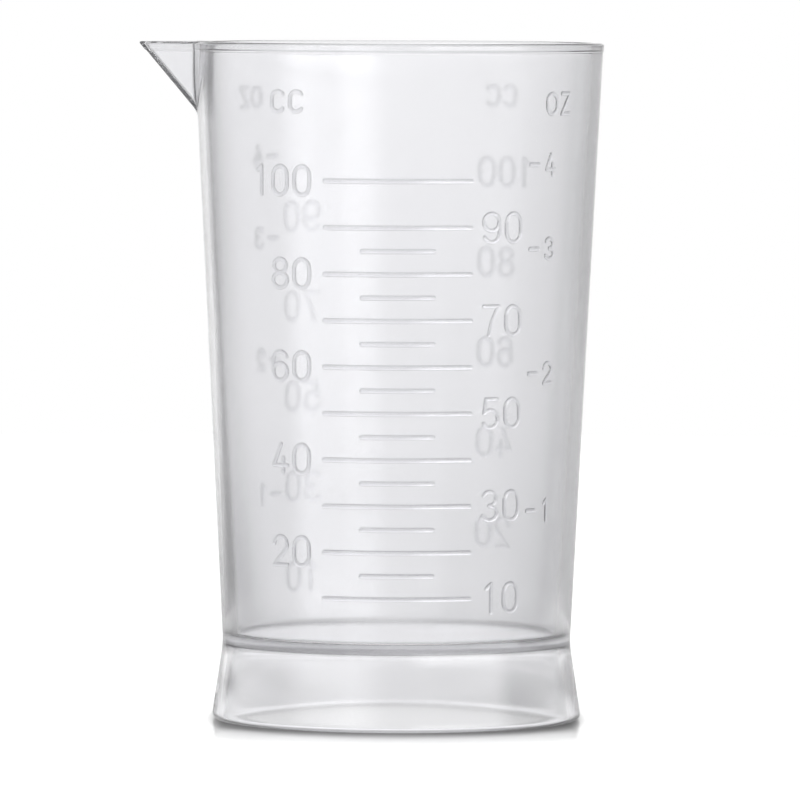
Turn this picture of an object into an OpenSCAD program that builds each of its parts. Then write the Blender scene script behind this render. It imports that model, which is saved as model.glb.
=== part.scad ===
// Clear moulded resin mixing cup: a tapered bowl on a flared hollow foot, a thin rim
// band, one V-shaped pouring spout, and raised marks for cubic centimetres and ounces.
// Millimetres. +Z is up, the foot rests on z = 0, the spout points along -X and the
// graduated side faces -Y. The cup is one moulding, drawn here as its regions.

/* [Bowl] */
// Height of the whole cup
cup_h = 89.6; // [75:0.1:105]
// Outside diameter of the tapered wall, carried up to the rim
rim_d = 54.2; // [51:0.1:60]
// Outside diameter at the waist, where the foot begins
waist_d = 46.0; // [40:0.1:48]
// Thickness of the tapered wall at the rim
wall_t = 1.4; // [0.8:0.1:2]
// Thickness of the tapered wall at the floor
base_wall_t = 1.9; // [0.8:0.1:2.4]
// Thickness of the floor
floor_t = 1.3; // [0.8:0.1:3]
// Radius of the inside corner between floor and wall
corner_r = 0.5; // [0.3:0.1:1.5]

/* [Rim] */
// Height of the rim band
rim_h = 1.2; // [0.9:0.1:2]
// How far the rim band stands proud of the wall
rim_proud = 0.08; // [0.05:0.01:0.3]
// How far the rim band's inside steps back from the wall's
rim_relief = 0.15; // [0.05:0.01:0.3]
// Radius of the rim's two top edges
rim_round = 0.35; // [0.1:0.05:0.4]

/* [Spout] */
// How far the spout's tip reaches past the rim
spout_reach = 7.3; // [4:0.1:9]
// How far below the rim the spout's keel leaves the wall
spout_depth = 9.3; // [7:0.1:14]
// Angle of each side of the spout to its middle, seen from above
spout_angle = 32; // [28:1:48]
// Thickness of the spout's sides
spout_t = 0.8; // [0.5:0.1:1.1]
// Outside radius of the keel, where the two sides meet
keel_r = 1.2; // [1.2:0.1:2.5]

/* [Foot] */
// How far the foot's widest edge stands out past the waist
foot_flare = 1.4; // [0.5:0.1:4]
// Height of the floor's underside above the table
foot_h = 10.0; // [5:0.1:20]
// Thickness of the foot's skirt
foot_t = 1.6; // [1.2:0.1:2.2]
// Radius of the foot's outer lower edge
foot_round = 0.6; // [0.4:0.1:1.1]
// Radius that blends the taper into the flare at the waist
waist_round = 15; // [5:1:20]

/* [Cubic centimetre lines] */
// Rise of the wall for each ten cubic centimetres
ten_cc_rise = 6.05; // [5:0.05:7]
// Number of long lines, one for each ten cubic centimetres
long_lines = 10; // [6:1:11]
// Number of short lines, one halfway between two long ones, from the bottom up
short_lines = 8; // [4:1:10]
// Length of a long line, measured round the wall
long_line = 20.0; // [14:0.1:24]
// Length of a short line, measured round the wall
short_line = 9.9; // [5:0.1:14]
// Width of every raised line
mark_w = 0.5; // [0.3:0.05:1]
// How far every raised line stands proud of the wall
mark_proud = 0.15; // [0.1:0.05:0.6]

/* [Ounce ticks] */
// Heights of the four ounce ticks above the inside of the floor
ounce_rise = [17.3, 35.3, 51.6, 62.6]; // [0:0.1:70]
// Length of an ounce tick
tick_len = 2.0; // [1:0.1:4]
// Distance from the scale's middle to the near end of a tick, round the wall
tick_from = 18.6; // [15:0.1:24]

/* [Hidden] */
$fn = 180;

plastic = [0.90, 0.90, 0.93];
ridge_tone = [0.80, 0.80, 0.85];

rim_r = rim_d / 2;
waist_r = waist_d / 2;
foot_r = waist_r + foot_flare;
floor_top = foot_h + floor_t;
waist_z = foot_h;
rim_base = cup_h - rim_h;
corner_top = floor_top + corner_r;
// Slopes of the wall and of the foot away from the vertical
taper = (rim_r - waist_r) / (cup_h - waist_z);
bowl_taper = taper + (base_wall_t - wall_t) / (cup_h - waist_z);
taper_angle = atan(taper);
flare_angle = atan(foot_flare / (waist_z - foot_round));
// The graduated side faces -Y
scale_azimuth = -90;
// Height over which the rim band's inside steps back
relief_rise = 0.4;
// How far a cutting shape runs past what it cuts
past = 1;
arc_steps = 6;

function wall_r(z) = waist_r + taper * (z - waist_z);
function bowl_r(z) = rim_r - wall_t - bowl_taper * (cup_h - z);
function skirt_r(z) = waist_r + tan(flare_angle) * (waist_z - z);
// Radius of the floor's flat disc, which ends where the inside corner begins
floor_r = bowl_r(corner_top) - corner_r;
function degrees_round(arc, z) = arc / wall_r(z) * 180 / PI;
function arc_points(centre, radius, from, to) =
    [for (i = [0:arc_steps]) let (a = from + (to - from) * i / arc_steps)
        centre + radius * [cos(a), sin(a)]];

// Outline of the whole moulding, bowl and foot filled in, from the axis outwards
module outer_section() {
    foot_centre = [foot_r - foot_round / cos(flare_angle), foot_round];
    blend_run = waist_round * tan((taper_angle + flare_angle) / 2);
    blend_start = [waist_r, waist_z] + blend_run * [sin(flare_angle), -cos(flare_angle)];
    blend_centre = blend_start + waist_round * [cos(flare_angle), sin(flare_angle)];
    rim_outer = wall_r(cup_h) + rim_proud;
    rim_centre = [rim_outer - rim_round, cup_h - rim_round];
    polygon(concat(
        [[0, 0]],
        arc_points(foot_centre, foot_round, -90, flare_angle),
        arc_points(blend_centre, waist_round, 180 + flare_angle, 180 - taper_angle),
        [[wall_r(rim_base), rim_base], [wall_r(rim_base) + rim_proud, rim_base + rim_proud]],
        arc_points(rim_centre, rim_round, -taper_angle, 90),
        [[0, cup_h]]));
}

// Space inside the bowl, with its rounded inside corner and the rim band's thinner inside
module bowl_section() {
    corner_centre = [floor_r, corner_top];
    rim_centre = [bowl_r(cup_h) + rim_relief + rim_round, cup_h - rim_round];
    polygon(concat(
        [[0, floor_top]],
        arc_points(corner_centre, corner_r, -90, 0),
        [[bowl_r(rim_base), rim_base]],
        [[bowl_r(rim_base + relief_rise) + rim_relief, rim_base + relief_rise]],
        arc_points(rim_centre, rim_round, 180, 90),
        [[rim_centre[0], cup_h + past], [0, cup_h + past]]));
}

// Hollow under the floor, inside the skirt
module hollow_section() {
    polygon([[0, -past], [skirt_r(-past) - foot_t, -past],
             [skirt_r(foot_h) - foot_t, foot_h], [0, foot_h]]);
}

// The moulding turned about its axis, between two heights and outside a radius
module turned(from, to, inner = 0) {
    rotate_extrude() intersection() {
        difference() {
            outer_section();
            bowl_section();
            hollow_section();
        }
        translate([inner, from]) square([foot_r + rim_r, to - from]);
    }
}

module bowl_space() {
    rotate_extrude() bowl_section();
}

module level(from, to) {
    reach = 2 * (rim_r + spout_reach);
    translate([-reach, -reach, from]) cube([2 * reach, 2 * reach, to - from]);
}

// The spout is a V-shaped trough of even section, run along its slanted keel
spout_tip = rim_r + spout_reach;
keel_slant = atan((spout_tip - wall_r(cup_h - spout_depth)) / spout_depth);
side_angle = atan(tan(spout_angle) / cos(keel_slant));
// How far in from the tip the sides have passed the bowl's inner surface at the rim
seam_in = spout_tip - spout_tip * pow(sin(spout_angle), 2)
    - cos(spout_angle) * sqrt(pow(bowl_r(cup_h), 2) - pow(spout_tip * sin(spout_angle), 2));
trough_in = (seam_in + wall_t) * cos(keel_slant);
keel_run = ((spout_tip - bowl_r(cup_h)) / (tan(keel_slant) - bowl_taper) + wall_t) / cos(keel_slant);

// Section of the trough square to its keel; grow moves its sides out (+) or in (-)
module trough_section(grow) {
    radius = keel_r + grow;
    touch = [keel_r - radius * sin(side_angle), radius * cos(side_angle)];
    side_out = (trough_in - touch[0]) * tan(side_angle);
    polygon(concat(
        arc_points([keel_r, 0], radius, 90 + side_angle, 270 - side_angle),
        [[trough_in, -touch[1] - side_out], [trough_in, touch[1] + side_out]]));
}

module trough(grow) {
    translate([-spout_tip, 0, cup_h]) rotate([0, -keel_slant, 0])
        translate([0, 0, -keel_run]) linear_extrude(keel_run + 2 * past) trough_section(grow);
}

module tapered_wall() {
    color(plastic) difference() {
        turned(corner_top, rim_base);
        trough(0);
    }
}

module rim_band() {
    color(plastic) difference() {
        union() {
            turned(rim_base, cup_h);
            intersection() {
                trough(rim_proud);
                level(rim_base, cup_h);
            }
        }
        trough(rim_relief - spout_t);
        bowl_space();
    }
}

module pouring_spout() {
    color(plastic) difference() {
        intersection() {
            trough(0);
            level(corner_top, rim_base);
        }
        trough(-spout_t);
        bowl_space();
    }
}

module cup_floor() {
    color(plastic) translate([0, 0, foot_h]) cylinder(r = floor_r, h = floor_t);
}

// The foot, up to the top of the corner ring that holds the floor
module foot_skirt() {
    color(plastic) turned(0, corner_top, floor_r);
}

// A raised line round the wall at height z, over a stretch measured round the wall
module raised_line(z, from, length) {
    half = mark_w / 2;
    top_half = mark_w / 4;
    rotate([0, 0, scale_azimuth + degrees_round(from, z)])
        rotate_extrude(angle = degrees_round(length, z)) polygon([
            [wall_r(z - half), z - half],
            [wall_r(z - top_half) + mark_proud, z - top_half],
            [wall_r(z + top_half) + mark_proud, z + top_half],
            [wall_r(z + half), z + half]]);
}

module ten_cc_lines() {
    color(ridge_tone) for (step = [1:long_lines])
        raised_line(floor_top + ten_cc_rise * step, -long_line / 2, long_line);
}

module five_cc_lines() {
    color(ridge_tone) for (step = [1:short_lines])
        raised_line(floor_top + ten_cc_rise * (step + 0.5), -short_line / 2, short_line);
}

module ounce_ticks() {
    for (rise = ounce_rise) raised_line(floor_top + rise, tick_from, tick_len);
}

module front_ounce_ticks() {
    color(ridge_tone) ounce_ticks();
}

module back_ounce_ticks() {
    color(ridge_tone) rotate([0, 0, 180]) ounce_ticks();
}

tapered_wall();
rim_band();
pouring_spout();
cup_floor();
foot_skirt();
ten_cc_lines();
five_cc_lines();
front_ounce_ticks();
back_ounce_ticks();
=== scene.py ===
# Clear moulded resin mixing cup in a plain white studio.
# The cup's lengths are in millimetres, and MM turns them into metres. The studio's are in metres.
# The frame is the solids' own: +Z up, foot on z = 0, spout along -X, graduated side towards -Y.
import math

import bpy
import numpy as np
from mathutils import Matrix, Vector, geometry


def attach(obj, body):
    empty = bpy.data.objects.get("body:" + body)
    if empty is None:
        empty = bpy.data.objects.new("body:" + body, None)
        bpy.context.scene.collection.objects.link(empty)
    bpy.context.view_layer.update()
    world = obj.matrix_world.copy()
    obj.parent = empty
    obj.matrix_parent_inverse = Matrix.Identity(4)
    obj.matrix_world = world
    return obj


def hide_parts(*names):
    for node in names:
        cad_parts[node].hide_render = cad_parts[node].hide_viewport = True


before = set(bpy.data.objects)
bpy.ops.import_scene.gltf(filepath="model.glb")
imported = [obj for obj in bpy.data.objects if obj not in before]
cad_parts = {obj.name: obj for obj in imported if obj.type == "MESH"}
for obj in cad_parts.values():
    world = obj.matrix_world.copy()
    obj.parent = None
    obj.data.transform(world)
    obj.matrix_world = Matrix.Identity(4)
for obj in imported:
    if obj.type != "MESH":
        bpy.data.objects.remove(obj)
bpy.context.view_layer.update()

MM = 0.001

# The moulding, as in the solids
CUP_H = 89.6
RIM_R = 54.2 / 2
WAIST_R = 46.0 / 2
WALL_T = 1.4
BASE_WALL_T = 1.9
FLOOR_T = 1.3
CORNER_R = 0.5
RIM_H = 1.2
RIM_PROUD = 0.08
RIM_RELIEF = 0.15
RELIEF_RISE = 0.4
RIM_ROUND = 0.35
FOOT_FLARE = 1.4
FOOT_H = 10.0
FOOT_T = 1.6
FOOT_ROUND = 0.6
WAIST_ROUND = 15.0
SPOUT_REACH = 7.3
SPOUT_DEPTH = 9.3
SPOUT_ANGLE = math.radians(32)
SPOUT_T = 0.8
KEEL_R = 1.2

# Soft edges that the solids leave sharp
SEAM_ROUND = 0.6
UNDERSIDE_ROUND = 0.2
FOOT_INNER_ROUND = 0.25
BAND_EDGE = 0.12

FOOT_R = WAIST_R + FOOT_FLARE
FLOOR_TOP = FOOT_H + FLOOR_T
CORNER_TOP = FLOOR_TOP + CORNER_R
RIM_BASE = CUP_H - RIM_H
SLOPE = (RIM_R - WAIST_R) / (CUP_H - FOOT_H)
BOWL_SLOPE = SLOPE + (BASE_WALL_T - WALL_T) / (CUP_H - FOOT_H)
TAPER = math.atan(SLOPE)
FLARE = math.atan(FOOT_FLARE / (FOOT_H - FOOT_ROUND))
SPOUT_TIP = RIM_R + SPOUT_REACH
# Below this height, a little under the spout's keel, the wall is plain all the way round
PLAIN_TOP = CUP_H - SPOUT_DEPTH - 2


def wall_r(z):
    """Radius of the outside of the tapered wall at height z."""
    return WAIST_R + SLOPE * (z - FOOT_H)


def bowl_r(z):
    """Radius of the inside of the tapered wall at height z."""
    return RIM_R - WALL_T - BOWL_SLOPE * (CUP_H - z)


def skirt_r(z):
    """Radius of the outside of the foot's skirt at height z."""
    return WAIST_R + math.tan(FLARE) * (FOOT_H - z)


KEEL_SLANT = math.atan((SPOUT_TIP - wall_r(CUP_H - SPOUT_DEPTH)) / SPOUT_DEPTH)
SIDE_ANGLE = math.atan(math.tan(SPOUT_ANGLE) / math.cos(KEEL_SLANT))


# The moulding's mesh: rings of vertices, one for each point of a profile that runs from the
# middle of the floor's underside, round the foot, up the wall, over the rim and down to the
# middle of the floor. Near the spout a ring bulges to follow the trough.

# Columns of vertices: up to each angle from the spout's middle, the step between them in degrees
COLUMN_STEPS = ((3, 0.25), (24, 0.5), (180, 1.5))
# Columns with a smaller cosine of their angle from the spout's middle never meet the trough
TROUGH_COS = 0.3
# Distance from a rounded edge to the next ring, and from the wall's last row to the rim band.
# These rings keep the flat parts flat.
EDGE_GAP = 0.3
BAND_GAP = 0.2
# Radii of the rings that divide both faces of the floor
DISC_RINGS = (6, 13)
# Height of the lowest ring on the straight outside of the skirt
SKIRT_START = 1.15
# The plain wall's even rows start at this height, and the spout's follow them closer together
PLAIN_START = 20
PLAIN_ROWS = 9
SPOUT_ROWS = 34
# Steps round each of the rim's two top edges
RIM_STEPS = 5
# Rings of the band's lower edge: shares of BAND_EDGE in height and of RIM_PROUD outwards
BAND_RINGS = ((0, 0.25), (0.5, 0.8), (1, 1), (2.25, 1))
# Rings of the step inside the rim: shares of RELIEF_RISE in height and of RIM_RELIEF outwards
RELIEF_RINGS = ((1, 1), (0.75, 0.9), (0.5, 0.5), (0.25, 0.1), (0, 0))


def column_angles():
    """Angles from the spout's middle, close together at its keel and seams, wider elsewhere."""
    angles = [0.0]
    for upto, step in COLUMN_STEPS:
        while angles[-1] < upto - 1e-6:
            angles.append(angles[-1] + step)
    half = np.array(angles)
    return np.radians(np.concatenate([half, -half[-2:0:-1]]))


PHI = column_angles()


def trough_r(z, grow):
    """Radius at which each column leaves the spout's trough at height z, or 0 away from it."""
    radius = KEEL_R + grow
    cos_k, sin_s, cos_s = math.cos(KEEL_SLANT), math.sin(SIDE_ANGLE), math.cos(SIDE_ANGLE)
    tip = SPOUT_TIP - (CUP_H - z) * math.tan(KEEL_SLANT)
    depth = tip * cos_k - KEEL_R
    along, across = np.cos(PHI) * cos_k, np.sin(PHI)
    side = (depth * sin_s + radius) / (along * sin_s + np.abs(across) * cos_s)
    a = along**2 + across**2
    root = (depth * along) ** 2 - a * (depth**2 - radius**2)
    cap = (depth * along + np.sqrt(np.maximum(root, 0))) / a
    on_cap = (root > 0) & (np.abs(across * cap) < radius * cos_s)
    return np.where(np.cos(PHI) > TROUGH_COS, np.where(on_cap, cap, side), 0.0)


def soft_max(a, b, width):
    """The greater of a and b, with the edge between them rounded over about width."""
    overlap = np.maximum(width - np.abs(a - b), 0) / width
    return np.maximum(a, b) + overlap**2 * width / 4


def outside(z, proud=0.0):
    """Outer radii at height z; proud is how far the rim band stands out there."""
    wall = np.full(len(PHI), wall_r(z) + proud)
    if z < PLAIN_TOP:
        return wall
    return soft_max(wall, trough_r(z, proud), SEAM_ROUND)


def inside(z, shrink=0.0):
    """Inner radii at height z; shrink is how far the surface steps back into the plastic there."""
    wall = np.full(len(PHI), bowl_r(z) + shrink)
    if z < PLAIN_TOP:
        return wall
    return soft_max(wall, trough_r(z, shrink - SPOUT_T), SEAM_ROUND)


def curve(cx, cy, rx, ry, start, end, steps):
    """Points along part of an ellipse, angles in degrees."""
    turns = [math.radians(start + (end - start) * i / steps) for i in range(steps + 1)]
    return [(cx + rx * math.cos(t), cy + ry * math.sin(t)) for t in turns]


def arc(centre, radius, start, end, steps):
    """Points (radius, height) along an arc of the profile, angles in degrees."""
    return curve(*centre, radius, radius, start, end, steps)


def profile_rings():
    """(height, radii) of every ring, from the middle of the underside to that of the floor."""
    flare, taper = math.degrees(FLARE), math.degrees(TAPER)
    rings = []

    def ring(r, z):
        rings.append((z, np.full(len(PHI), r)))

    # Underside of the floor and inside of the skirt
    under_r = skirt_r(FOOT_H) - FOOT_T
    for r in DISC_RINGS + (under_r - UNDERSIDE_ROUND - EDGE_GAP,):
        ring(r, FOOT_H)
    centre = (under_r - UNDERSIDE_ROUND, FOOT_H - UNDERSIDE_ROUND)
    for r, z in arc(centre, UNDERSIDE_ROUND, 90, flare, steps=4):
        ring(r, z)
    for z in (FOOT_H - UNDERSIDE_ROUND - EDGE_GAP, FOOT_H / 2, FOOT_INNER_ROUND + EDGE_GAP):
        ring(skirt_r(z) - FOOT_T, z)
    # The edge that the foot stands on
    foot_in = skirt_r(0) - FOOT_T
    centre = (foot_in + FOOT_INNER_ROUND / math.cos(FLARE), FOOT_INNER_ROUND)
    for r, z in arc(centre, FOOT_INNER_ROUND, 180 + flare, 270, steps=4):
        ring(r, z)
    centre = (FOOT_R - FOOT_ROUND / math.cos(FLARE), FOOT_ROUND)
    for r, z in arc(centre, FOOT_ROUND, 270, 360 + flare, steps=8):
        ring(r, z)
    # Outside of the skirt, the waist and the wall up to the rim band
    blend_run = WAIST_ROUND * math.tan((TAPER + FLARE) / 2)
    start_r = WAIST_R + blend_run * math.sin(FLARE)
    start_z = FOOT_H - blend_run * math.cos(FLARE)
    for z in (SKIRT_START, FOOT_H / 2, start_z - EDGE_GAP):
        ring(skirt_r(z), z)
    centre = (start_r + WAIST_ROUND * math.cos(FLARE), start_z + WAIST_ROUND * math.sin(FLARE))
    blend = arc(centre, WAIST_ROUND, 180 + flare, 180 - taper, steps=8)
    for r, z in blend:
        ring(r, z)
    wall_rows = [blend[-1][1] + EDGE_GAP] + list(np.linspace(PLAIN_START, PLAIN_TOP, PLAIN_ROWS))
    spout_rows = list(np.linspace(PLAIN_TOP + EDGE_GAP, RIM_BASE - BAND_GAP, SPOUT_ROWS))
    for z in wall_rows + spout_rows:
        rings.append((z, outside(z)))
    # The rim band, over its rounded top and down to its step inside
    for rise, share in BAND_RINGS:
        z = RIM_BASE + BAND_EDGE * rise
        rings.append((z, outside(z, RIM_PROUD * share)))
    quarter = [math.radians(90 * i / RIM_STEPS) for i in range(RIM_STEPS + 1)]
    for turn in quarter:
        z = CUP_H - RIM_ROUND * (1 - math.sin(turn))
        rings.append((z, outside(z, RIM_PROUD - RIM_ROUND * (1 - math.cos(turn)))))
    for turn in quarter[::-1]:
        z = CUP_H - RIM_ROUND * (1 - math.sin(turn))
        rings.append((z, inside(z, RIM_RELIEF + RIM_ROUND * (1 - math.cos(turn)))))
    for rise, share in RELIEF_RINGS:
        z = RIM_BASE + RELIEF_RISE * rise
        rings.append((z, inside(z, RIM_RELIEF * share)))
    # Inside of the bowl, its rounded corner and the floor
    for z in spout_rows[::-1] + wall_rows[:0:-1] + [CORNER_TOP + EDGE_GAP]:
        rings.append((z, inside(z)))
    floor_r = bowl_r(CORNER_TOP) - CORNER_R
    for r, z in arc((floor_r, CORNER_TOP), CORNER_R, 0, -90, steps=6):
        ring(r, z)
    for r in (floor_r - EDGE_GAP,) + DISC_RINGS[::-1]:
        ring(r, FLOOR_TOP)
    return rings


def mesh_object(name, vertices, faces):
    """A smooth-shaded object from vertices in metres."""
    mesh = bpy.data.meshes.new(name)
    mesh.from_pydata([tuple(v) for v in vertices], [], faces)
    mesh.validate()
    mesh.shade_smooth()
    obj = bpy.data.objects.new(name, mesh)
    bpy.context.scene.collection.objects.link(obj)
    return obj


def moulding():
    """The whole cup but its marks, as one closed mesh."""
    rings = profile_rings()
    n = len(PHI)
    # PHI is measured from -X, and grows towards -Y
    cos_a, sin_a = -np.cos(PHI), -np.sin(PHI)
    vertices = [(0, 0, FOOT_H)]
    for z, radii in rings:
        vertices += list(zip(radii * cos_a, radii * sin_a, np.full(n, z)))
    vertices.append((0, 0, FLOOR_TOP))
    last = len(vertices) - 1
    last_ring = last - n
    faces = []
    for i in range(n):
        j = (i + 1) % n
        faces.append((0, 1 + j, 1 + i))
        for k in range(len(rings) - 1):
            a, b = 1 + k * n, 1 + (k + 1) * n
            faces.append((a + i, a + j, b + j, b + i))
        faces.append((last_ring + i, last_ring + j, last))
    return mesh_object("moulded_cup", np.array(vertices) * MM, faces)


# Raised marks: each stroke is a line drawn on the unrolled wall, as (distance round the wall
# from the middle of the graduated side, height), and swells into a rounded ridge.

# Width and height of the ridges of lines and ticks, and of the finer ones of characters
LINE_W = 0.6
LINE_PROUD = 0.075
CHAR_W = 0.5
CHAR_PROUD = 0.06
# The far side's marks are shallower
FAR_PROUD = 0.04
# How far every ridge's edge is sunk into the wall, and how far down its side goes from there
MARK_SUNK = 0.03
RIDGE_SIDE = 0.02
# Besides its middle, a ridge has vertices at these shares of its half width
RIDGE_SHARES = (0.25, 0.5, 0.75, 1.0)
# Longest step along a stroke, for lines and ticks and for characters
LINE_STEP = 0.6
CHAR_STEP = 0.3
# Steps round a stroke's round end
CAP_STEPS = 8
# Points of a ridge's mesh that are closer than this become one
WELD = 1e-5
# Edges sharper than this stay sharp: those where a ridge's side meets its top and its underside
SHARP_ANGLE = math.radians(50)


def oval(rounding):
    """A closed upright oval with straight sides; rounding is the height of each round end."""
    points = curve(0.5, 1 - rounding, 0.5, rounding, 0, 180, 18)
    points += curve(0.5, rounding, 0.5, rounding, 180, 360, 18)
    return points + points[:1]


# Strokes of each character in a box one unit wide and one unit high
STROKES = {
    "0": [oval(0.36)],
    "1": [[(0.62, 0.0), (0.62, 1.0)], [(0.62, 1.0), (0.30, 0.84)]],
    "2": [
        curve(0.5, 0.70, 0.48, 0.30, 170, -20, 16) + [(0.62, 0.36), (0.25, 0.16), (0.04, 0.0)],
        [(0.04, 0.0), (0.98, 0.0)],
    ],
    "3": [
        curve(0.47, 0.755, 0.43, 0.245, 150, -90, 18),
        curve(0.47, 0.255, 0.50, 0.255, 90, -155, 20),
    ],
    "4": [[(0.55, 1.0), (0.02, 0.26)], [(0.02, 0.26), (1.0, 0.26)], [(0.72, 0.52), (0.72, 0.0)]],
    "5": [
        [(0.92, 1.0), (0.20, 1.0)],
        [(0.20, 1.0), (0.08, 0.50)],
        curve(0.48, 0.31, 0.50, 0.31, 143, -150, 20),
    ],
    "6": [
        curve(0.5, 0.30, 0.5, 0.30, 0, 360, 28),
        [(0.0, 0.30), (0.0, 0.66)] + curve(0.5, 0.70, 0.5, 0.30, 175, 25, 14),
    ],
    "7": [[(0.02, 1.0), (0.98, 1.0)], [(0.98, 1.0), (0.55, 0.50), (0.36, 0.0)]],
    "8": [curve(0.5, 0.76, 0.43, 0.24, -90, 270, 26), curve(0.5, 0.26, 0.5, 0.26, 90, 450, 28)],
    "9": [
        curve(0.5, 0.70, 0.5, 0.30, 0, 360, 28),
        [(1.0, 0.70), (1.0, 0.34)] + curve(0.5, 0.30, 0.5, 0.30, -5, -155, 14),
    ],
    "C": [curve(0.52, 0.66, 0.5, 0.34, 35, 180, 14) + curve(0.52, 0.34, 0.5, 0.34, 180, 325, 14)],
    "O": [oval(0.42)],
    "Z": [[(0.05, 1.0), (0.95, 1.0)], [(0.95, 1.0), (0.03, 0.0)], [(0.03, 0.0), (0.97, 0.0)]],
}


def glyph(char, left, bottom, width, height):
    """A character's strokes, with its box's corner and size measured between stroke middles."""
    return [[(left + x * width, bottom + y * height) for x, y in line] for line in STROKES[char]]


def word(text, z, height, width, pitch, left=None, right=None):
    """Characters in a row, centred on height z, from left or up to right, outer edges counted."""
    middle_h, middle_w = height - CHAR_W, width - CHAR_W
    if left is None:
        left = right - width - pitch * (len(text) - 1)
    groups = []
    for i, char in enumerate(text):
        x = left + CHAR_W / 2 + pitch * i
        groups.append(glyph(char, x, z - middle_h / 2, middle_w, middle_h))
    return groups


def resample(line, step):
    """Points along a line, at most step apart, corners kept."""
    points = []
    for (x0, y0), (x1, y1) in zip(line, line[1:]):
        count = max(1, math.ceil(math.hypot(x1 - x0, y1 - y0) / step))
        points += [(x0 + (x1 - x0) * i / count, y0 + (y1 - y0) * i / count) for i in range(count)]
    return np.array(points + [line[-1]])


def cap(end, heading, distance):
    """Points of a half circle round the end of a line that heads that way."""
    start = math.atan2(heading[1], heading[0]) + math.pi / 2
    turns = [start - math.pi * i / CAP_STEPS for i in range(1, CAP_STEPS)]
    return [end + distance * np.array([math.cos(t), math.sin(t)]) for t in turns]


def outline(points, distance, closed):
    """Loops of points at a distance from a line of points, with round ends where it is open."""
    ahead = np.roll(points, -1, 0) - points
    if closed:
        points, ahead = points[:-1], ahead[:-1]
        tangent = ahead + np.roll(ahead, 1, 0)
    else:
        ahead[-1] = ahead[-2]
        tangent = ahead.copy()
        tangent[1:] += ahead[:-1]
    tangent /= np.linalg.norm(tangent, axis=1)[:, None]
    normal = np.stack([-tangent[:, 1], tangent[:, 0]], 1) * distance
    if closed:
        return [points + normal, points - normal]
    loop = list(points + normal)
    loop += cap(points[-1], tangent[-1], distance)
    loop += list((points - normal)[::-1])
    loop += cap(points[0], -tangent[0], distance)
    return [np.array(loop)]


def distance_to(points, segments):
    """Shortest distance from each point to any of the segments."""
    best = np.full(len(points), np.inf)
    for a, b in segments:
        run = b - a
        t = np.clip(((points - a) @ run) / max(run @ run, 1e-12), 0, 1)
        best = np.minimum(best, np.linalg.norm(points - (a + t[:, None] * run), axis=1))
    return best


def ridge(strokes, step, width, proud):
    """Triangles of one group of strokes: (flat points, heights, faces), all strokes joined."""
    # The ridge is a parabola across its stroke, width wide where it leaves the wall
    half = width / 2 * math.sqrt(1 + MARK_SUNK / proud)
    points, edges, segments = [], [], []

    def add(line, closed):
        first = len(points)
        points.extend(line)
        edges.extend((first + i, first + i + 1) for i in range(len(line) - 1))
        if closed:
            edges.append((first + len(line) - 1, first))

    for stroke in strokes:
        line = resample(stroke, step)
        closed = np.allclose(line[0], line[-1])
        segments += list(zip(line, line[1:]))
        add(line[:-1] if closed else line, closed)
        for share in RIDGE_SHARES:
            for loop in outline(line, half * share, closed):
                add(loop, True)
    flat, _, faces, *_ = geometry.delaunay_2d_cdt(
        [Vector(p) for p in points], edges, [], 0, WELD, False
    )
    flat = np.array([tuple(p) for p in flat])
    faces = np.array(faces)
    centres = flat[faces].mean(1)
    faces = faces[distance_to(centres, segments) < half]
    used, index = np.unique(faces, return_inverse=True)
    flat, faces = flat[used], index.reshape(faces.shape)
    share = np.minimum(distance_to(flat, segments) / half, 1)
    heights = proud - (proud + MARK_SUNK) * share**2
    return flat, heights, faces


def on_wall(flat, heights, turned):
    """Points of the unrolled wall and heights above it, as places in millimetres."""
    z = flat[:, 1]
    angle = flat[:, 0] / wall_r(z) - math.pi / 2 + (math.pi if turned else 0)
    r = wall_r(z) + heights
    return np.stack([r * np.cos(angle), r * np.sin(angle), z], 1)


def relief(name, groups, turned, step, width, proud):
    """One piece holding every group of strokes as closed ridges, sunk a little into the wall."""
    vertices, faces = [], []
    for strokes in groups:
        flat, heights, top = ridge(strokes, step, width, proud)
        count, first = len(flat), sum(len(v) for v in vertices)
        vertices.append(on_wall(flat, heights, turned))
        vertices.append(on_wall(flat, np.full(count, -MARK_SUNK - RIDGE_SIDE), turned))
        sides = [edge for a, b, c in top for edge in ((a, b), (b, c), (c, a))]
        known = set(sides)
        rim = [(a, b) for a, b in sides if (b, a) not in known]
        faces += [tuple(int(v) + first for v in f) for f in top]
        faces += [tuple(int(v) + first + count for v in f[::-1]) for f in top]
        faces += [(b + first, a + first, a + first + count, b + first + count) for a, b in rim]
    obj = mesh_object(name, np.concatenate(vertices) * MM, faces)
    obj.data.set_sharp_from_angle(angle=SHARP_ANGLE)
    return obj


# Places of the marks on the unrolled wall. Those of the lines and ticks are as in the solids.
TEN_CC_RISE = 6.05
LONG_LINE = 20.0
SHORT_LINE = 9.9
OUNCE_RISE = (17.3, 35.3, 51.6, 62.6)
TICK_FROM = 18.6
TICK_LEN = 2.0
# Numerals of the cubic centimetres: their size, and the edges of the columns that they line up on
DIGIT_H = 4.23
DIGIT_W = 2.77
DIGIT_PITCH = 3.38
LEFT_COLUMN = -11.7
RIGHT_COLUMN = 11.3
# Numerals of the ounces
SMALL_H = 3.12
SMALL_W = 2.12
SMALL_LEFT = 21.5
# Unit letters, as high as the ounces' numerals
CC_LEFT = -18.05
OZ_LEFT = 21.5
LETTER_Z = 82.05
OZ_DROP = 0.25
LETTER_W = 2.42
LETTER_PITCH = 2.87


def line_z(cc):
    """Height of the line for a volume in cubic centimetres."""
    return FLOOR_TOP + TEN_CC_RISE * cc / 10


def bar(z, start, length):
    """A straight mark whose round ends lie inside its length."""
    return [[(start + LINE_W / 2, z), (start + length - LINE_W / 2, z)]]


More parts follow.
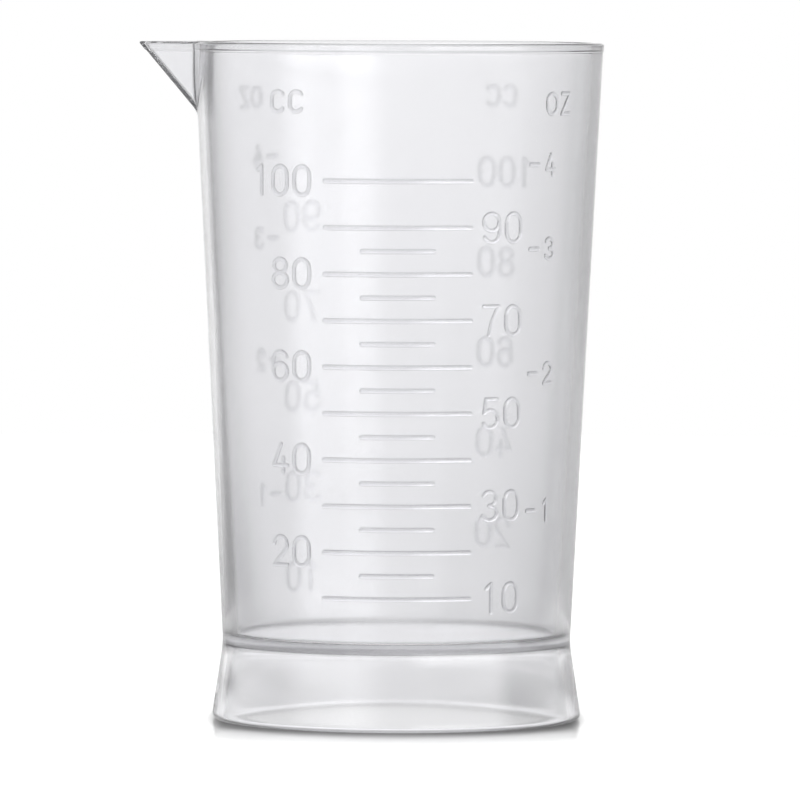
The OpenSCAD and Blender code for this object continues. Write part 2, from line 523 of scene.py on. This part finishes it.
def cc_numerals():
    """Every ten cubic centimetres: even tens left of the lines, odd tens right of them."""
    groups = []
    for cc in range(20, 101, 20):
        groups += word(str(cc), line_z(cc), DIGIT_H, DIGIT_W, DIGIT_PITCH, right=LEFT_COLUMN)
    for cc in range(10, 91, 20):
        groups += word(str(cc), line_z(cc), DIGIT_H, DIGIT_W, DIGIT_PITCH, left=RIGHT_COLUMN)
    return groups


def ounce_numerals():
    """1 to 4, each beside its tick."""
    groups = []
    for count, rise in enumerate(OUNCE_RISE, 1):
        groups += word(str(count), FLOOR_TOP + rise, SMALL_H, SMALL_W, 0, left=SMALL_LEFT)
    return groups


def unit_letters():
    """CC above the left column of numerals and OZ above the ounces."""
    cc = word("CC", LETTER_Z, SMALL_H, LETTER_W, LETTER_PITCH, left=CC_LEFT)
    oz = word("OZ", LETTER_Z - OZ_DROP, SMALL_H, LETTER_W, LETTER_PITCH, left=OZ_LEFT)
    return cc + oz


def build_marks():
    """Every piece of raised marks, each with the node that it replaces, or None."""
    long_lines = [bar(line_z(cc), -LONG_LINE / 2, LONG_LINE) for cc in range(10, 101, 10)]
    short_lines = [bar(line_z(cc), -SHORT_LINE / 2, SHORT_LINE) for cc in range(15, 86, 10)]
    ticks = [bar(FLOOR_TOP + rise, TICK_FROM, TICK_LEN) for rise in OUNCE_RISE]
    made = []
    for name, groups, turned, node in (
        ("long_cc_lines", long_lines, False, "ten_cc_lines"),
        ("short_cc_lines", short_lines, False, "five_cc_lines"),
        ("front_ticks", ticks, False, "front_ounce_ticks"),
        ("back_ticks", ticks, True, "back_ounce_ticks"),
    ):
        proud = FAR_PROUD if turned else LINE_PROUD
        made.append((relief(name, groups, turned, LINE_STEP, LINE_W, proud), node))
    for side, turned in (("front", False), ("back", True)):
        proud = FAR_PROUD if turned else CHAR_PROUD
        for kind, groups in (
            ("cc_numerals", cc_numerals()),
            ("ounce_numerals", ounce_numerals()),
            ("unit_letters", unit_letters()),
        ):
            name = side + "_" + kind
            made.append((relief(name, groups, turned, CHAR_STEP, CHAR_W, proud), None))
    return made


# Materials and light


def new_node(tree, kind, inputs):
    """A node whose inputs are set to values, or linked to the outputs of other nodes."""
    node = tree.nodes.new(kind)
    for key, value in inputs.items():
        if isinstance(value, bpy.types.NodeSocket):
            tree.links.new(value, node.inputs[key])
        else:
            node.inputs[key].default_value = value
    return node


def new_material(name):
    """A material with its node tree empty but for the output."""
    mat = bpy.data.materials.new(name)
    mat.use_nodes = True
    tree = mat.node_tree
    tree.nodes.clear()
    return mat, tree, tree.nodes.new("ShaderNodeOutputMaterial")


def clear_plastic():
    """Clear polypropylene: a slight grey tint, a milky haze and gentle moulding ripples."""
    mat, tree, out = new_material("clear_plastic")
    place = new_node(tree, "ShaderNodeTexCoord", {}).outputs["Object"]
    cloudy = new_node(tree, "ShaderNodeTexNoise", {"Vector": place, "Scale": 40, "Detail": 3})
    haze = cloudy.outputs["Fac"]
    rough = new_node(tree, "ShaderNodeMapRange", {"Value": haze, "To Min": 0.045, "To Max": 0.09})
    tint = new_node(
        tree, "ShaderNodeMix", {0: haze, 6: (0.94, 0.94, 0.955, 1), 7: (0.96, 0.96, 0.972, 1)}
    )
    tint.data_type = "RGBA"
    # Ripples, longer up the wall than round it
    stretch = new_node(tree, "ShaderNodeMapping", {"Vector": place, "Scale": (110, 110, 30)})
    ripples = new_node(
        tree, "ShaderNodeTexNoise", {"Vector": stretch.outputs["Vector"], "Scale": 1, "Detail": 1}
    )
    bump = new_node(
        tree,
        "ShaderNodeBump",
        {"Height": ripples.outputs["Fac"], "Strength": 0.5, "Distance": 0.00006},
    )
    shader = new_node(
        tree,
        "ShaderNodeBsdfPrincipled",
        {
            "Base Color": tint.outputs[2],
            "Roughness": rough.outputs["Result"],
            "IOR": 1.49,
            "Transmission Weight": 0.94,
            "Normal": bump.outputs["Normal"],
        },
    )
    # The plastic's own grey, which only shows where light runs a long way through it
    depth = new_node(
        tree, "ShaderNodeVolumeAbsorption", {"Color": (0.2, 0.2, 0.24, 1), "Density": 20}
    )
    tree.links.new(depth.outputs[0], out.inputs["Volume"])
    tree.links.new(shader.outputs[0], out.inputs["Surface"])
    return mat


def maths(tree, operation, *values):
    """The result of one calculation; each value is a number or another node's output."""
    node = new_node(tree, "ShaderNodeMath", dict(enumerate(values)))
    node.operation = operation
    return node.outputs[0]


def product(tree, *values):
    """All the values multiplied."""
    result = values[0]
    for value in values[1:]:
        result = maths(tree, "MULTIPLY", result, value)
    return result


def ramp(tree, value, low, high, at_low, at_high):
    """A smooth step of value, from at_low at low to at_high at high."""
    node = new_node(
        tree,
        "ShaderNodeMapRange",
        {"Value": value, "From Min": low, "From Max": high, "To Min": at_low, "To Max": at_high},
    )
    node.interpolation_type = "SMOOTHSTEP"
    return node.outputs["Result"]


def ramps(tree, value, table):
    """The product of several smooth steps of one value, one for each row of the table."""
    return product(tree, *(ramp(tree, value, *row) for row in table))


def towards(tree, value, level, share):
    """The value, drawn towards a level by a share from 0 to 1."""
    node = new_node(tree, "ShaderNodeMix", {"A": value, "B": level, "Factor": share})
    return node.outputs["Result"]


def lobe(tree, direction, to_right, azimuths, heights, strength):
    """A soft box: direction is the ray's x, y, z; azimuths are degrees from the camera's side."""
    x, y, z = direction
    across = x if to_right else product(tree, x, -1)
    angle = maths(tree, "ARCTAN2", across, product(tree, y, -1))
    near, near_full, far_full, far = (math.radians(a) for a in azimuths)
    low, low_full, high_full, high = heights
    return product(
        tree,
        ramp(tree, angle, near, near_full, 0, 1),
        ramp(tree, angle, far_full, far, 1, 0),
        ramp(tree, z, low, low_full, 0, 1),
        ramp(tree, z, high_full, high, 1, 0),
        strength,
    )


# The studio's light. Each row is a smooth step: its two ends, then the light at each of them. The
# rows of a table multiply. To the sides they go by a direction's x, and up and down by its z.

# To the left: a grey, an edge of light, and a dark flag
LEFT_LIGHT = ((0.08, 0.28, 1, 0.88), (0.28, 0.34, 1, 1.13), (0.5, 0.56, 1, 0.3))
# To the right: a grey that deepens
RIGHT_LIGHT = ((0.015, 0.1, 1, 0.87), (0.08, 0.36, 1, 0.6))
# Far out on either side the light is at least this
FAR_LIGHT = (0.6, 0.85, 0, 0.6)
# By height: brightest a little above the horizon, and darker below it and overhead
SKY_LIGHT = (
    (-0.45, -0.05, 0.5, 1),
    (-0.055, 0, 1.055, 1.12),
    (0.04, 0.075, 1, 1.48),
    (0.1, 0.16, 1, 0.72),
    (0.25, 0.4, 1, 0.6),
)
# Above the horizon the sides are drawn towards one level, by a share that grows with height
SKY_LEVEL = 0.8
SKY_EVEN = (0.02, 0.07, 0, 0.8)


def side_light(tree, across):
    """How bright the studio is from side to side: grey to the right, a dark flag to the left."""
    left = product(tree, across, -1)
    left_side = maths(
        tree, "MAXIMUM", ramps(tree, left, LEFT_LIGHT), ramp(tree, left, *FAR_LIGHT)
    )
    right_side = maths(
        tree, "MAXIMUM", ramps(tree, across, RIGHT_LIGHT), ramp(tree, across, *FAR_LIGHT)
    )
    return product(tree, left_side, right_side)


def studio_world():
    """White to the camera, plain light on surfaces, and a lit backdrop in gloss and glass."""
    world = bpy.data.worlds.new("studio")
    bpy.context.scene.world = world
    world.use_nodes = True
    tree = world.node_tree
    tree.nodes.clear()
    coords = new_node(tree, "ShaderNodeTexCoord", {})
    direction = new_node(tree, "ShaderNodeSeparateXYZ", {0: coords.outputs["Generated"]}).outputs
    x, _, z = direction
    backdrop = towards(tree, side_light(tree, x), SKY_LEVEL, ramp(tree, z, *SKY_EVEN))
    seen = product(tree, backdrop, ramps(tree, z, SKY_LIGHT))
    # One soft box shows as a stripe in the bowl's far wall, the other in the foot's near wall
    bowl_box = lobe(
        tree,
        direction,
        to_right=True,
        azimuths=(4, 22, 62, 84),
        heights=(-0.1, -0.05, 0.13, 0.25),
        strength=3.2,
    )
    foot_box = lobe(
        tree,
        direction,
        to_right=False,
        azimuths=(0, 34, 58, 90),
        heights=(0.1, 0.2, 0.45, 0.6),
        strength=1.9,
    )
    seen = maths(tree, "ADD", seen, maths(tree, "ADD", bowl_box, foot_box))
    path = new_node(tree, "ShaderNodeLightPath", {}).outputs
    plain = maths(tree, "MAXIMUM", path["Is Camera Ray"], path["Is Diffuse Ray"])
    strength = towards(tree, seen, 1, plain)
    back = new_node(tree, "ShaderNodeBackground", {"Color": (1, 1, 1, 1), "Strength": strength})
    out = tree.nodes.new("ShaderNodeOutputWorld")
    tree.links.new(back.outputs[0], out.inputs["Surface"])


# The table: its radius, its number of sides, and how far its top lies below the foot
TABLE_R = 0.7
TABLE_SIDES = 96
TABLE_DROP = 0.00005
# Its light as gloss and glass see it, painted by distance from the cup's axis: painted shade close
# to the cup, painted light inside the foot, and a little more light far out
TABLE_LIGHT = ((0.05, 0.22, 0.85, 0.985), (0.3, 0.7, 1, 1.08), (0.02, 0.023, 1.06, 1))
# Closer to the axis than this, the sides fade into each other
SIDE_NEAR = 0.05
# The sides are drawn towards one level, by a share that goes by distance: in the ring where light
# lands that ran through the cup's floor, and inside the foot
TABLE_LEVEL = 0.98
RING_EVEN = ((0.115, 0.125, 0, 0.85), (0.142, 0.152, 1, 0))
FOOT_EVEN = (0.02, 0.023, 0.5, 0)
# In a wide ring round the cup, painted light makes the table a little lighter left of the middle,
# and painted shade makes it darker further left
RING_SHARE = ((0.08, 0.16, 0, 1), (0.2, 0.45, 1, 0))
RING_LIGHTER = (-0.012, 0, 0.04, 0.005)
RING_DARKER = (0.13, 0.36, 0, 0.4)
# Close to the cup, painted shade makes it darker on both sides
LEFT_FLANK = (0.1, 0.3, 0, 1)
RIGHT_FLANK = (0.25, 0.4, 0, 1)
FLANK_DARK = (0.08, 0.14, 0.12, 0)
# Strength of the white that covers the gloss for the camera, and the share of it: by distance from
# the axis, and beside the cup, where it is painted over the cup's shadow and reflection
CAMERA_WHITE = 1.12
CLEAR_AROUND = (0.025, 0.046, 0, 0.95)
CLEAR_BESIDE = (0.0225, 0.028, 0, 0.95)
# Share of the light above in what gloss and glass see
GLASS_SHARE = 0.8
# How dark the painted shadow is that touches the foot, by distance from the axis
PAINTED_CONTACT_SHADOW = (0.0212, 0.0326, 0.62, 0)


def table_light(tree, distance, x):
    """How bright the table looks in gloss and glass, as painted light and shade, by distance from
    the axis and by side.
    """
    across = maths(tree, "DIVIDE", x, maths(tree, "MAXIMUM", distance, SIDE_NEAR))
    left = product(tree, across, -1)
    even = maths(tree, "ADD", ramps(tree, distance, RING_EVEN), ramp(tree, distance, *FOOT_EVEN))
    sides = towards(tree, side_light(tree, across), TABLE_LEVEL, even)
    change = maths(
        tree, "SUBTRACT", ramp(tree, across, *RING_LIGHTER), ramp(tree, left, *RING_DARKER)
    )
    ring = maths(tree, "ADD", 1, product(tree, ramps(tree, distance, RING_SHARE), change))
    flanks = maths(tree, "ADD", ramp(tree, left, *LEFT_FLANK), ramp(tree, across, *RIGHT_FLANK))
    flanks = product(tree, flanks, ramp(tree, distance, *FLANK_DARK))
    flanks = maths(tree, "SUBTRACT", 1, flanks)
    return product(tree, ramps(tree, distance, TABLE_LIGHT), sides, ring, flanks)


def table_material():
    """White gloss, pure white to the camera apart from the cup's shadow and reflection in the
    gloss and a painted shadow round the foot.
    """
    mat, tree, out = new_material("table_white")
    gloss = new_node(
        tree, "ShaderNodeBsdfPrincipled", {"Base Color": (0.8, 0.8, 0.8, 1), "Roughness": 0.12}
    )
    place = new_node(tree, "ShaderNodeTexCoord", {}).outputs["Object"]
    x = new_node(tree, "ShaderNodeSeparateXYZ", {0: place}).outputs[0]
    length = new_node(tree, "ShaderNodeVectorMath", {0: place})
    length.operation = "LENGTH"
    distance = length.outputs["Value"]
    path = new_node(tree, "ShaderNodeLightPath", {}).outputs
    camera = path["Is Camera Ray"]
    glass = maths(tree, "MAXIMUM", path["Is Glossy Ray"], path["Is Transmission Ray"])
    glass = product(tree, glass, maths(tree, "SUBTRACT", 1, camera))
    strength = maths(
        tree,
        "ADD",
        product(tree, camera, CAMERA_WHITE),
        product(tree, glass, table_light(tree, distance, x)),
    )
    white = new_node(tree, "ShaderNodeEmission", {"Strength": strength})
    # Beside the cup, painted white covers its shadow and reflection, which show only in front of
    # it and behind it
    beside = ramp(tree, maths(tree, "ABSOLUTE", x), *CLEAR_BESIDE)
    clear = maths(tree, "MAXIMUM", ramp(tree, distance, *CLEAR_AROUND), beside)
    share = maths(tree, "ADD", product(tree, camera, clear), product(tree, glass, GLASS_SHARE))
    mix = new_node(
        tree, "ShaderNodeMixShader", {0: share, 1: gloss.outputs[0], 2: white.outputs[0]}
    )
    # Painted shadow: black mixed in round the foot for the camera, none beside the cup
    dark = maths(tree, "SUBTRACT", ramp(tree, distance, *PAINTED_CONTACT_SHADOW), beside)
    dark = product(tree, camera, maths(tree, "MAXIMUM", dark, 0))
    shade = new_node(tree, "ShaderNodeEmission", {"Strength": 0})
    contact = new_node(
        tree, "ShaderNodeMixShader", {0: dark, 1: mix.outputs[0], 2: shade.outputs[0]}
    )
    tree.links.new(contact.outputs[0], out.inputs["Surface"])
    return mat


def table_top():
    """The round table that the cup stands on, just below its foot."""
    mesh = bpy.data.meshes.new("table_top")
    turns = [2 * math.pi * i / TABLE_SIDES for i in range(TABLE_SIDES)]
    ring = [(TABLE_R * math.cos(t), TABLE_R * math.sin(t), 0) for t in turns]
    mesh.from_pydata(ring, [], [tuple(range(TABLE_SIDES))])
    mesh.materials.append(table_material())
    table = bpy.data.objects.new("table_top", mesh)
    table.location = (0, 0, -TABLE_DROP)
    bpy.context.scene.collection.objects.link(table)


# Camera, fitted to the photograph: its place in metres, its tilts in degrees, its lens
CAMERA_AT = (0.000344, -1.173994, 0.100759)
CAMERA_DOWN = 2.855
CAMERA_ROLL = 0.239
SENSOR = 36.0
FOCAL_PIXELS = 8871.4
PHOTO_PIXELS = 800


def photo_camera():
    """The camera in the photograph's place."""
    data = bpy.data.cameras.new("photo_camera")
    data.sensor_width = SENSOR
    data.lens = FOCAL_PIXELS / PHOTO_PIXELS * SENSOR
    data.clip_start = 0.05
    data.clip_end = 20
    camera = bpy.data.objects.new("photo_camera", data)
    tilt = Matrix.Rotation(math.radians(90 - CAMERA_DOWN), 4, "X")
    roll = Matrix.Rotation(math.radians(CAMERA_ROLL), 4, "Z")
    camera.matrix_world = Matrix.Translation(CAMERA_AT) @ tilt @ roll
    bpy.context.scene.collection.objects.link(camera)
    bpy.context.scene.camera = camera


photo_camera()
studio_world()
table_top()

plastic = clear_plastic()
cup = moulding()
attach(cup, "root")
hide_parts("tapered_wall", "rim_band", "pouring_spout", "cup_floor", "foot_skirt")
cup.data.materials.append(plastic)
for piece, node in build_marks():
    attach(piece, "root")
    if node:
        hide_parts(node)
    piece.data.materials.append(plastic)

bpy.context.scene.view_settings.view_transform = "Standard"
# Light is passed on often enough to find its way out of the clear plastic
BOUNCES = 32
paths = bpy.context.scene.cycles
paths.max_bounces = BOUNCES
paths.transmission_bounces = BOUNCES
paths.glossy_bounces = BOUNCES
